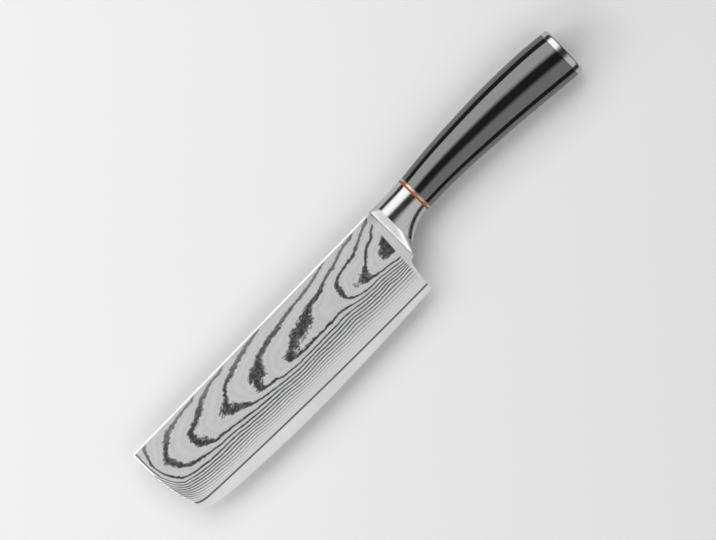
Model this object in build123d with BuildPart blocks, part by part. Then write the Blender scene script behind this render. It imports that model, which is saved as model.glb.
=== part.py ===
from build123d import *
import os
from math import atan2, cos, hypot, pi, radians, sin, sqrt, tan

# A nakiri, the straight-edged vegetable knife, lying on its side. Millimetres.
# It is drawn from a datum at the tip: X runs along the spine line towards the butt, Y rises
# from the cutting edge to the spine, and Z is the blade's thickness, with its middle at 0.
# At the end every piece moves by the same step, so that the origin is under the knife's middle.

# Blade
blade_length = 178.0            # foremost point of the tip to the bolster's front face
blade_depth = 53.4              # spine to the lowest point of the edge
blade_thickness = 2.0           # at the bolster
tip_thickness = 1.6             # the flat sides draw together towards the tip
core_thickness = 0.7            # hard centre layer, between two claddings
spine_facet_width = 0.9         # narrow facet along each long edge of the spine
spine_facet_depth = 0.3
tip_corner_radius = 0.9         # upper corner of the tip, seen from the side
tip_straight = 16.0             # straight part of the tip, down from the spine
tip_sweep = 7.7                 # how far the tip's lower corner lies behind its front
tip_rise = 6.0                  # tip's lower corner above the lowest point of the edge
knee_share = 0.146              # place of the edge's forward bend, along the blade
knee_rise = 2.7                 # height of that bend above the lowest point
belly_share = 0.519             # place of the lowest point, along the blade
heel_rise = 2.1                 # heel's corner above the lowest point
heel_setback = 6.5              # heel's corner to the bolster's front face
heel_lean = 3.0                 # how far the heel leans back on its way up
heel_round_share = 0.975        # hollow corner above the heel, of the ledge before the bolster
tab_length = 12.0               # tab that stands in the bolster's slot
tab_height = 12.0
tab_relief = 0.1                # ground off each side of the tab

# Grind of the blade
bevel_depth = 27.7              # spine to the line where the flat side turns into the bevel
edge_half_angle = 12.0          # each side of the sharpened edge, in degrees
edge_land = 0.05                # thickness left at the very edge
core_line_depth = 48.5          # spine to the line where the bevel meets the core, at the bolster
core_line_rise = 4.9            # how much nearer to the spine that line starts at the tip
grind_stations = 5

# Bolster
bolster_length = 21.9
web_depth = 32.6                # spine line to the foot of the web, at the front face
web_sagitta = 2.75              # how far the hollow underside rises above a straight line
web_nose = 2.0                  # fullness of the web's lower end at its foot
front_land = 1.0                # step from the blade's side to the front face's rim
rim_width = 0.9                 # narrow chamfer along the front face
rim_share = 0.85                # how square the rim's section is, 0.55 for an oval, 1 for a slab
# places along the bolster from the end of its front slope, with the share of the rings' crown
crown_shares = [(0.2, 0.0), (0.4, 0.02), (0.6, 0.1), (0.8, 0.4), (1.0, 1.0)]

# Handle section at the bolster's rear face, where the rings are
ring_width = 21.2
ring_thickness = 16.6
ring_crown = 0.4                # top of the rings above the spine line
spacer_length = 1.0
brass_length = 1.5
brass_round = 0.3

# Grip
grip_length = 103.9
grip_width = 29.0               # widest place, near the butt
grip_thickness = 20.0
grip_arch = 2.1                 # bow of the grip's middle line above a straight one
butt_drop = 3.4                 # centre of the butt below the centre of the rings
# places along the grip, with the share of the arch and of the growth from ring to widest
grip_shares = [
    (0.0, 0.0, 0.0),
    (0.125, 0.52, 0.15),
    (0.25, 0.82, 0.31),
    (0.375, 0.95, 0.48),
    (0.5, 1.0, 0.65),
    (0.625, 0.93, 0.79),
    (0.75, 0.74, 0.90),
    (0.875, 0.44, 0.99),
    (1.0, 0.0, 0.97),
]

# Butt cap
cap_length = 4.0
cap_taper = 2.0                 # degrees
cap_round = 1.5
boss_length = 2.0               # boss that plugs the grip's rear pocket
boss_clearance = 0.1

# Tang and what holds it
tang_width = 8.0
tang_thickness = 4.0
bore_diameter = 10.0            # drilled through grip and rings into the bolster
thread_diameter = 5.0
thread_clearance = 0.05
thread_run_in = 1.5             # round part of the tang below the washer
thread_tail = 1.5               # round part beyond the nut
end_gap = 0.5                   # tail to the cap's boss
washer_diameter = 14.0
washer_thickness = 1.0
washer_clearance = 0.25
nut_across_flats = 8.0
nut_height = 4.0
pocket_clearance = 0.5          # round the washer

overrun = 2.0                   # how far every cut runs past what it cuts

# Places worked out from those sizes
half_blade = blade_thickness / 2
half_tip = tip_thickness / 2
half_core = core_thickness / 2
half_tab = half_blade - tab_relief
half_ring = ring_thickness / 2
oval_share = 4 / 3 * (sqrt(2) - 1)      # handles of a quarter oval, of its half width
cladding_thickness = half_blade - half_core
side_slope = (half_blade - half_tip) / blade_length
heel_x = blade_length - heel_setback
heel_corner_x = heel_x + heel_lean
heel_turn = pi / 2 + atan2(heel_lean, blade_depth - heel_rise - web_depth)
heel_round = heel_round_share * (blade_length - heel_corner_x) * tan(heel_turn / 2)
belly_x = belly_share * blade_length
knee_x = knee_share * blade_length
tip_depth = blade_depth - tip_rise
tab_end_x = blade_length + tab_length
bolster_end_x = blade_length + bolster_length
spacer_end_x = bolster_end_x + spacer_length
grip_start_x = spacer_end_x + brass_length
ring_centre_y = ring_crown - ring_width / 2
butt_x = grip_start_x + grip_length
butt_y = ring_centre_y - butt_drop
tilt = atan2(butt_drop, grip_length)
pocket_radius = washer_diameter / 2 + pocket_clearance
pocket_depth = washer_thickness + nut_height + thread_tail + end_gap + boss_length


def across(x, y=0.0):
    """Plane across the knife: local x points to the spine and local y to the left side."""
    return Plane(origin=(x, y, 0), x_dir=(0, 1, 0), z_dir=(1, 0, 0))


# The tang, the pocket and the cap are square to a line that drops from the rings to the butt.
butt_plane = Plane(
    origin=(butt_x, butt_y, 0),
    x_dir=(sin(tilt), cos(tilt), 0),
    z_dir=(cos(tilt), -sin(tilt), 0),
)
pocket_floor = butt_plane.offset(-pocket_depth)
tang_length = (butt_x - tab_end_x) / cos(tilt)

# Side outline of the blade without its tab, and the edge that is sharpened
with BuildLine() as cutting_edge:
    front_arc = TangentArc(
        (belly_x, -blade_depth), (knee_x, knee_rise - blade_depth), tangent=(-1, 0)
    )
    TangentArc(front_arc @ 1, (tip_sweep, -tip_depth), tangent=front_arc % 1)
    TangentArc((belly_x, -blade_depth), (heel_x, heel_rise - blade_depth), tangent=(1, 0))

with BuildSketch() as blade_outline:
    with BuildLine():
        add(cutting_edge.line)
        TangentArc((0, -tip_straight), (tip_sweep, -tip_depth), tangent=(0, -1))
        Polyline(
            (0, -tip_straight),
            (0, 0),
            (blade_length, 0),
            (blade_length, -web_depth),
            (heel_corner_x, -web_depth),
            (heel_x, heel_rise - blade_depth),
        )
    make_face()
    fillet(blade_outline.vertices().group_by(Axis.X)[0].sort_by(Axis.Y)[-1], tip_corner_radius)
    heel_corner = blade_outline.vertices().sort_by_distance((heel_corner_x, -web_depth))[0]
    fillet(heel_corner, heel_round)

with BuildSketch() as tab_outline:
    with Locations((blade_length + tab_length / 2, ring_centre_y)):
        Rectangle(tab_length, tab_height)

# Cutter that draws the left flat side in towards the tip, with the facet along the spine
with BuildPart() as side_cutter:
    with BuildSketch(Plane.XZ):
        with BuildLine():
            Polyline(
                (blade_length, half_blade),
                (-overrun, half_tip - side_slope * overrun),
                (-overrun, half_blade + overrun),
                (blade_length, half_blade + overrun),
                close=True,
            )
        make_face()
    extrude(amount=blade_depth + overrun, both=True)
    start_z = half_tip - side_slope * overrun
    facet_slope = spine_facet_depth / spine_facet_width
    with BuildSketch(across(-overrun)):
        with BuildLine():
            Polyline(
                (overrun, start_z - spine_facet_depth - facet_slope * overrun),
                (-spine_facet_width - overrun, start_z + facet_slope * overrun),
                (overrun, start_z + facet_slope * overrun),
                close=True,
            )
        make_face()
    extrude(amount=blade_length + 2 * overrun, dir=(1, 0, side_slope))

# Cutter for the bevel on the left side: its lower face meets the core along the core line.
with BuildPart() as bevel_cutter:
    for station in range(grind_stations):
        along_share = station / (grind_stations - 1)
        side_z = half_tip + side_slope * along_share * blade_length
        core_depth = core_line_depth - core_line_rise * (1 - along_share) ** 2
        fall = (side_z - half_core) / (core_depth - bevel_depth)
        bottom = blade_depth + overrun
        with BuildSketch(across(along_share * blade_length)):
            with BuildLine():
                Polyline(
                    (overrun - bevel_depth, side_z + fall * overrun),
                    (-bottom, side_z + fall * overrun),
                    (-bottom, side_z - fall * (bottom - bevel_depth)),
                    close=True,
                )
            make_face()
    loft()

# Cutter for the left side of the sharpened edge, carried along the edge past both its ends
with BuildPart() as edge_cutter:
    with BuildLine() as edge_path:
        add(cutting_edge.line)
        tip_end = cutting_edge.edges().sort_by(Axis.X)[0]
        heel_end = cutting_edge.edges().sort_by(Axis.X)[-1]
        Line(tip_end @ 1, (tip_end @ 1) + (tip_end % 1) * overrun)
        Line(heel_end @ 1, (heel_end @ 1) + (heel_end % 1) * overrun)
    path = edge_path.wires()[0]
    path_start = Plane(origin=path @ 0, x_dir=(0, 0, 1), z_dir=path % 0)
    inward = overrun if path_start.y_dir.Y > 0 else -overrun
    flare = overrun * tan(radians(edge_half_angle))
    with BuildSketch(path_start):
        with BuildLine():
            Polyline(
                (edge_land / 2 - flare, -inward),
                (edge_land / 2 + flare, inward),
                (half_blade + overrun, inward),
                (half_blade + overrun, -inward),
                close=True,
            )
        make_face()
    sweep(path=path)

# Core of the blade, with its layer of the tab
with BuildPart() as blade_core:
    with BuildSketch(Plane.XY.offset(-half_core)):
        add(blade_outline.sketch)
        add(tab_outline.sketch)
    extrude(amount=core_thickness)
    add(bevel_cutter.part, mode=Mode.SUBTRACT)
    add(bevel_cutter.part.mirror(Plane.XY), mode=Mode.SUBTRACT)
    add(edge_cutter.part, mode=Mode.SUBTRACT)
    add(edge_cutter.part.mirror(Plane.XY), mode=Mode.SUBTRACT)

# Layered cladding on the left side, ground away below the core line
with BuildPart() as cladding_left:
    with BuildSketch(Plane.XY.offset(half_core)):
        add(blade_outline.sketch)
    extrude(amount=cladding_thickness)
    add(side_cutter.part, mode=Mode.SUBTRACT)
    add(bevel_cutter.part, mode=Mode.SUBTRACT)
    with BuildSketch(Plane.XY.offset(half_core)):
        add(tab_outline.sketch)
    extrude(amount=half_tab - half_core)

with BuildPart() as cladding_right:
    add(cladding_left.part.mirror(Plane.XY))

# Bore for the tang: it runs down the handle's line and ends flat on the end of the tab.
with BuildPart() as tang_bore:
    with BuildSketch(pocket_floor):
        Circle(bore_diameter / 2)
    extrude(amount=-tang_length - overrun)
    split(bisect_by=across(tab_end_x), keep=Keep.TOP)


def underside(x):
    """Height of the bolster's underside: an arc over the chord from the web's foot to the rings."""
    rise = web_depth - (ring_width - ring_crown)
    chord = hypot(bolster_length, rise)
    radius = (chord**2 / 4 + web_sagitta**2) / (2 * web_sagitta)
    below = radius - web_sagitta
    centre_x = blade_length + bolster_length / 2 + below * rise / chord
    centre_y = -web_depth + rise / 2 - below * bolster_length / chord
    return centre_y + sqrt(radius**2 - (x - centre_x) ** 2)


def bolster_outline(upper, lower, side, upper_share, handle, nose):
    """Section of the bolster: two curves to the top, and two to the foot with their own handles."""
    for left in (side, -side):
        fullness = upper_share * left
        Bezier((0, left), (upper_share * upper, left), (upper, fullness), (upper, 0))
        Bezier((0, left), (-handle, left), (-lower, nose * left / side), (-lower, 0))


def rim_section(x, side):
    """Nearly square section at the front, which covers the blade's thickness."""
    lower = ring_centre_y - underside(x)
    handle = rim_share * lower
    bolster_outline(-ring_centre_y, lower, side, rim_share, handle, rim_share * side)


def full_section(x, crown_share):
    """Oval that keeps its curve at the side while its lower end reaches down to the underside."""
    lower = ring_centre_y - underside(x)
    growth = (lower - ring_width / 2) / (web_depth + ring_centre_y - ring_width / 2)
    oval_nose = oval_share * half_ring
    nose = oval_nose - growth * (oval_nose - web_nose)
    handle = oval_share * ring_width / 2 * sqrt((half_ring - nose) / (half_ring - oval_nose))
    upper = -ring_centre_y + crown_share * ring_crown
    bolster_outline(upper, lower, half_ring, oval_share, handle, nose)


# Bolster: an oval body whose lower half reaches down to the web's foot, with a sloped front
with BuildPart() as bolster:
    rim_z = half_blade + front_land
    rim_end_x = blade_length + rim_width
    slope_end_x = blade_length + crown_shares[0][0] * bolster_length
    for x, side in ((blade_length, rim_z), (rim_end_x, rim_z + rim_width)):
        with BuildSketch(across(x, ring_centre_y)):
            with BuildLine():
                rim_section(x, side)
            make_face()
    loft(ruled=True)
    with BuildSketch(across(rim_end_x, ring_centre_y)):
        with BuildLine():
            rim_section(rim_end_x, rim_z + rim_width)
        make_face()
    with BuildSketch(across(slope_end_x, ring_centre_y)):
        with BuildLine():
            full_section(slope_end_x, crown_shares[0][1])
        make_face()
    loft(ruled=True)
    for along_share, crown_share in crown_shares:
        x = blade_length + along_share * bolster_length
        with BuildSketch(across(x, ring_centre_y)):
            with BuildLine():
                full_section(x, crown_share)
            make_face()
    loft()
    with BuildSketch(Plane.XY.offset(-half_tab)):
        add(tab_outline.sketch)
    extrude(amount=2 * half_tab, mode=Mode.SUBTRACT)
    add(tang_bore.part, mode=Mode.SUBTRACT)

# Red spacer and brass ring, bored for the tang
with BuildPart() as red_spacer:
    with BuildSketch(across(bolster_end_x, ring_centre_y)):
        Ellipse(ring_width / 2, ring_thickness / 2)
    extrude(amount=spacer_length)
    add(tang_bore.part, mode=Mode.SUBTRACT)

with BuildPart() as brass_ring:
    with BuildSketch(across(spacer_end_x, ring_centre_y)):
        Ellipse(ring_width / 2, ring_thickness / 2)
    extrude(amount=brass_length)
    fillet(brass_ring.edges().filter_by(GeomType.ELLIPSE), brass_round)
    add(tang_bore.part, mode=Mode.SUBTRACT)

# Grip: ovals along its bowed middle line, bored for the tang, with a pocket at the butt
with BuildPart() as grip:
    for along_share, arch_share, growth_share in grip_shares:
        x = grip_start_x + along_share * grip_length
        y = ring_centre_y - along_share * butt_drop + arch_share * grip_arch
        half_width = (ring_width + growth_share * (grip_width - ring_width)) / 2
        half_thickness = (ring_thickness + growth_share * (grip_thickness - ring_thickness)) / 2
        last = along_share == grip_shares[-1][0]
        with BuildSketch(butt_plane if last else across(x, y)):
            Ellipse(half_width, half_thickness)
    loft()
    add(tang_bore.part, mode=Mode.SUBTRACT)
    with BuildSketch(butt_plane):
        Circle(pocket_radius)
    extrude(amount=-pocket_depth, mode=Mode.SUBTRACT)

# Cap over the butt, with a boss that plugs the pocket
with BuildPart() as end_cap:
    with BuildSketch(butt_plane):
        Ellipse(half_width, half_thickness)
    extrude(amount=cap_length, taper=cap_taper)
    outer_face = end_cap.faces().sort_by(Axis.X)[-1]
    fillet(outer_face.edges(), cap_round)
    with BuildSketch(butt_plane):
        Circle(pocket_radius - boss_clearance)
    extrude(amount=-boss_length)

# Tang: a flat bar from the tab, round and threaded at its far end
with BuildPart() as tang:
    with BuildSketch(pocket_floor.offset(-thread_run_in)):
        Rectangle(tang_width, tang_thickness)
    extrude(amount=-tang_length - overrun)
    split(bisect_by=across(tab_end_x), keep=Keep.TOP)
    with BuildSketch(pocket_floor.offset(-thread_run_in)):
        Circle(thread_diameter / 2)
    extrude(amount=thread_run_in + washer_thickness + nut_height + thread_tail)

# Epoxy that fills the bore round the tang
with BuildPart() as tang_bedding:
    add(tang_bore.part)
    add(tang.part, mode=Mode.SUBTRACT)

with BuildPart() as tang_washer:
    with BuildSketch(pocket_floor):
        Circle(washer_diameter / 2)
        Circle(thread_diameter / 2 + washer_clearance, mode=Mode.SUBTRACT)
    extrude(amount=washer_thickness)

with BuildPart() as tang_nut:
    with BuildSketch(pocket_floor.offset(washer_thickness)):
        RegularPolygon(nut_across_flats / 2, 6, major_radius=False)
        Circle(thread_diameter / 2 + thread_clearance, mode=Mode.SUBTRACT)
    extrude(amount=nut_height)

# Every piece moves by one step, which puts the origin under the middle of the whole knife.
pieces = {
    "blade_core": blade_core,
    "cladding_left": cladding_left,
    "cladding_right": cladding_right,
    "bolster": bolster,
    "red_spacer": red_spacer,
    "brass_ring": brass_ring,
    "grip": grip,
    "end_cap": end_cap,
    "tang": tang,
    "tang_bedding": tang_bedding,
    "tang_washer": tang_washer,
    "tang_nut": tang_nut,
}
whole = Compound([piece.part for piece in pieces.values()]).bounding_box()
middle = whole.center()
datum = Location((-middle.X, -middle.Y, -whole.min.Z))

os.makedirs("parts", exist_ok=True)
for name, piece in pieces.items():
    piece.part.move(datum)
    piece.part.label = name
    export_step(piece.part, f"parts/{name}.step")

flat_middle_z = (half_blade + half_tip) / 2
left_flat = Vector(blade_length / 2, -bevel_depth / 2, flat_middle_z) + datum.position
print("whole knife, mm:", whole.size)
print("datum at the tip's spine line lies at:", datum.position)
print("middle of the blade's left flat:", left_flat)
print("middle of the butt's end face:", butt_plane.offset(cap_length).origin + datum.position)
print("its outward normal:", butt_plane.z_dir)
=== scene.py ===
# %% [markdown]
# A nakiri knife, dressed for its picture
# The knife was drawn in CAD and packed as twelve solids. This lesson loads them as a fixed frame
# and puts finished surfaces round them: layered steel, polished steel, brass, fibre and black
# resin. Every new piece is worked out with numpy in the knife's own measures.

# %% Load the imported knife
import bpy
import math
import numpy as np
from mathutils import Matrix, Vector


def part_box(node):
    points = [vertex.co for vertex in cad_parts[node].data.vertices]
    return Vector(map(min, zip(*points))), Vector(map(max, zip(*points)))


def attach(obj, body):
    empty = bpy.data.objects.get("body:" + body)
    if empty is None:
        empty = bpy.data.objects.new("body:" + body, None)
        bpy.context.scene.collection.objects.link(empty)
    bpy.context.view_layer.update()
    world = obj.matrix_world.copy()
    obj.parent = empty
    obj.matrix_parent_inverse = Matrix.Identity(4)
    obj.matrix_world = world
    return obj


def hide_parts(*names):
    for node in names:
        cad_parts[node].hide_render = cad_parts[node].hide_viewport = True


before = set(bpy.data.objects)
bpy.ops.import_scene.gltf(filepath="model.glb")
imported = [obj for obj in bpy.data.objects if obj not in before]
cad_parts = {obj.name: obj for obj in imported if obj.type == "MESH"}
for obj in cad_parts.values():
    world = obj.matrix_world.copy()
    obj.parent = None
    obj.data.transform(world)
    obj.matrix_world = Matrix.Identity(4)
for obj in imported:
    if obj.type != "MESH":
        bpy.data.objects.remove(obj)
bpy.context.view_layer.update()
print("nodes:", ", ".join(sorted(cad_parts)))

# %% [markdown]
# The knife's own measures
# The knife is easiest to describe from the tip: x runs along the spine to the butt, y falls from
# the spine to the edge, z is the blade's thickness. One step moves such a point, in millimetres,
# into the frame, in metres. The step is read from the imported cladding, so it is never guessed.

# %% Measures and the step into the frame
MM = 0.001
BLADE_LENGTH = 178.0
HALF_BLADE, HALF_TIP, HALF_CORE = 1.0, 0.8, 0.35
FACET_WIDTH, FACET_DEPTH = 0.9, 0.3
BEVEL_DEPTH = 27.7
CORE_DEPTH, CORE_RISE = 48.5, 4.9
TIP_CORNER = 0.9
TIP_STRAIGHT, TIP_SWEEP, TIP_DEPTH = 16.0, 7.7, 47.4
WEB_DEPTH = 32.6
HEEL_TOP_X, HEEL_X, HEEL_DEPTH = 174.5, 171.5, 51.3
HEEL_REACH = 3.41

BOLSTER_END = 199.9
RIM_Z, RIM_WIDTH, RIM_SHARE = 2.0, 0.9, 0.85
SLOPE_SHARE = 0.2
WEB_HOLLOW, WEB_NOSE = 2.75, 2.0
RING_WIDTH, RING_THICKNESS, RING_CROWN = 21.2, 16.6, 0.4
SPACER_END, GRIP_START, GRIP_LENGTH = 200.9, 202.4, 103.9
BUTT_X = GRIP_START + GRIP_LENGTH
RING_Y = RING_CROWN - RING_WIDTH / 2
BUTT_DROP = 3.4
GRIP_WIDTH, GRIP_THICKNESS, GRIP_ARCH = 29.0, 20.0, 2.1
BORE = 5.0
POCKET, POCKET_DEPTH = 7.5, 9.0
BOSS, BOSS_LENGTH = 7.4, 2.0
CAP_LENGTH, CAP_TAPER, CAP_ROUND = 4.0, 2.0, 1.5
TAB_END = 190.0

low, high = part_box("cladding_left")
core_low, core_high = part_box("blade_core")
STEP = np.array([low.x / MM, high.y / MM, (core_low.z + core_high.z) / 2 / MM])
print("tip of the spine in the frame, mm:", STEP.round(3))

# %% [markdown]
# From arrays to closed skins
# Each piece is a grid of points: one parameter runs round the section and one along the piece.
# A helper turns the grid into quads and closes its ends with a pole or joins them into a ring. It
# measures the enclosed volume, whose sign tells whether the faces look outwards, and turns them
# if they don't. Doing this on whole arrays keeps it quick and free of loops over points.

# %% A mesh from points and faces
def new_object(name, data):
    """Object that holds a mesh, lamp or camera, linked to the scene."""
    obj = bpy.data.objects.new(name, data)
    bpy.context.scene.collection.objects.link(obj)
    return obj


def put_in_scene(name, points, faces, smooth_angle=30.0):
    """Makes a mesh object from points in knife millimetres: each is moved by STEP and scaled to
    metres. Edges sharper than smooth_angle stay sharp, all others are shaded smooth."""
    mesh = bpy.data.meshes.new(name)
    placed = (np.asarray(points) + STEP) * MM
    mesh.from_pydata(placed.tolist(), [], faces)
    mesh.polygons.foreach_set("use_smooth", np.ones(len(mesh.polygons), bool))
    mesh.set_sharp_from_angle(angle=math.radians(smooth_angle))
    mesh.update()
    return new_object(name, mesh)


def enclosed_volume(points, quads, triangles):
    """Sum over the faces of a x (b x c) / 6: positive when the faces look outwards."""
    total = 0.0
    for faces in (quads, quads[:, [0, 2, 3]] if len(quads) else quads, triangles):
        if len(faces):
            a, b, c = (points[faces[:, k]] for k in range(3))
            total += float(np.einsum("ij,ij->i", a, np.cross(b, c)).sum()) / 6
    return total


def closed_skin(name, grid, ring=False, smooth_angle=30.0):
    """Skin over a grid of rows (along the piece) by columns (round it). The columns always close
    on themselves. With ring the last row joins the first, as on a bored piece; otherwise each end
    row closes in a fan round its own middle point, which is the pole."""
    rows, columns = grid.shape[:2]
    points = grid.reshape(-1, 3)
    index = np.arange(rows * columns).reshape(rows, columns)
    beside = np.roll(index, -1, axis=1)
    if ring:
        a, b = index, np.roll(index, -1, axis=0)
        c, d = np.roll(beside, -1, axis=0), beside
        triangles = np.zeros((0, 3), int)
    else:
        a, b, c, d = index[:-1], index[1:], beside[1:], beside[:-1]
        poles = len(points) + np.arange(2)
        points = np.vstack([points, grid[0].mean(0), grid[-1].mean(0)])
        first = np.stack([index[0], beside[0], np.full(columns, poles[0])], 1)
        last = np.stack([beside[-1], index[-1], np.full(columns, poles[1])], 1)
        triangles = np.vstack([first, last])
    quads = np.stack([a, b, c, d], -1).reshape(-1, 4)
    if enclosed_volume(points - points.mean(0), quads, triangles) < 0:
        quads, triangles = quads[:, ::-1], triangles[:, ::-1]
    obj = put_in_scene(name, points, quads.tolist() + triangles.tolist(), smooth_angle)
    print(name, "faces:", len(quads) + len(triangles))
    return obj


# %% [markdown]
# The side of the blade
# The blade is a hard core between two layered claddings. Seen from the side its tip drops
# straight and then curves back, and its heel has a hollow corner under the bolster. The side is
# flat down to the bevel line and then falls to the core line, where the cladding is ground away.
# A grid of depth by distance follows those lines exactly, and it is fine enough to carry the
# layer pattern as a number on every point.

# %% Outline of the cladding
UPTURN, UPTURN_START, UPTURN_FADE = 3.6, 3.5, 3.0


def tip_front(depth):
    """x of the tip at a depth: a small round at the spine, a straight drop, then the arc that
    leaves it upright and passes the tip's lower corner: x = r - sqrt(r^2 - fall^2)."""
    drop = TIP_DEPTH - TIP_STRAIGHT
    radius = (drop**2 + TIP_SWEEP**2) / (2 * TIP_SWEEP)
    fall = np.clip(depth - TIP_STRAIGHT, 0, None)
    rise = np.clip(TIP_CORNER - depth, 0, None)
    round_x = TIP_CORNER - np.sqrt(TIP_CORNER**2 - rise**2)
    return round_x + radius - np.sqrt(radius**2 - fall**2)


def heel_back(depth):
    """x of the cladding's rear end at a depth: the bolster's face, then below the web the hollow
    corner, an arc that meets the leaning heel line, then that line."""
    lean = (HEEL_TOP_X - HEEL_X) / (HEEL_DEPTH - WEB_DEPTH)
    below = depth - WEB_DEPTH
    line = HEEL_TOP_X - lean * below
    radius = HEEL_REACH * math.tan(math.pi / 4 + math.atan(lean) / 2)
    centre_x, centre_depth = HEEL_TOP_X + HEEL_REACH, WEB_DEPTH + radius
    arc = centre_x - np.sqrt(np.clip(radius**2 - (centre_depth - depth) ** 2, 0, None))
    corner = np.where(below < HEEL_REACH * math.cos(math.atan(lean)), arc, line)
    return np.where(below <= 0, BLADE_LENGTH, corner)


def core_line(x):
    """Depth at which the bevel reaches the core: CORE_DEPTH less CORE_RISE times the square of
    the share of the blade that is left before the bolster."""
    return CORE_DEPTH - CORE_RISE * (1 - x / BLADE_LENGTH) ** 2


def etched_core_line(x):
    """Depth of the dark line over the core: it follows the core line and turns up at the tip,
    by UPTURN as far as UPTURN_START, then dying away over UPTURN_FADE."""
    return core_line(x) - UPTURN * np.exp(-np.clip(x - UPTURN_START, 0, None) / UPTURN_FADE)


def side_height(x, depth):
    """Half thickness of the blade: it grows evenly from the tip, drops in a facet by the spine
    and falls evenly from the bevel line to the core line."""
    flat = HALF_TIP + (HALF_BLADE - HALF_TIP) * x / BLADE_LENGTH
    facet = FACET_DEPTH * np.clip(1 - depth / FACET_WIDTH, 0, 1)
    ground = np.clip((depth - BEVEL_DEPTH) / (core_line(x) - BEVEL_DEPTH), 0, 1)
    return flat - facet - (flat - HALF_CORE) * ground


print("core line at tip and heel, mm:", core_line(0.0), round(core_line(HEEL_X), 2))

# %% Grid of the cladding's face
TIP_FACET, TIP_FACET_DEPTH, THINNEST = 0.35, 0.2, 0.02
FIRM_DEPTH, ROW_STEP, SINKING_ROWS, COLUMNS = 40.0, 0.5, 17, 350
# depths at which the shape turns: spine facet, tip, bevel line, web and hollow corner
marks = [0, 0.15, 0.35, 0.6, FACET_WIDTH, TIP_STRAIGHT, BEVEL_DEPTH,
         WEB_DEPTH, WEB_DEPTH + 0.02, WEB_DEPTH + 3.4]
firm = np.unique(np.concatenate([marks, np.arange(1.4, FIRM_DEPTH, ROW_STEP), [FIRM_DEPTH]]))
firm = firm[np.append(True, np.diff(firm) > 0.015)]
sinking = np.linspace(0, 1, SINKING_ROWS + 1)[1:]
along = np.linspace(0, 1, COLUMNS)


def cladding_grid():
    """Grid of (x, depth): rows keep one depth down to FIRM_DEPTH and then share out what is left
    to the core line; columns share out the length between tip and rear end. Both lean on each
    other there, and a few rounds settle them."""
    depth = np.concatenate([np.repeat(firm[:, None], len(along) + 1, 1),
                            np.full((len(sinking), len(along) + 1), FIRM_DEPTH)])
    share = np.zeros((len(depth), 1))
    share[len(firm):, 0] = sinking
    facet = np.append(0.0, np.full(len(along), TIP_FACET))
    spread = np.append(0.0, along)
    for _ in range(6):
        front = tip_front(depth)
        x = front + facet + spread * (heel_back(depth) - front - facet)
        depth = np.where(share > 0, FIRM_DEPTH + share * (core_line(x) - FIRM_DEPTH), depth)
    return x, depth


side_x, side_depth = cladding_grid()
side_z = side_height(side_x, side_depth)
side_z[:-1, 0] = np.maximum(side_z[:-1, 0] - TIP_FACET_DEPTH, HALF_CORE + THINNEST)
print("cladding grid:", side_x.shape, "deepest:", side_depth.max().round(2))
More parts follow.
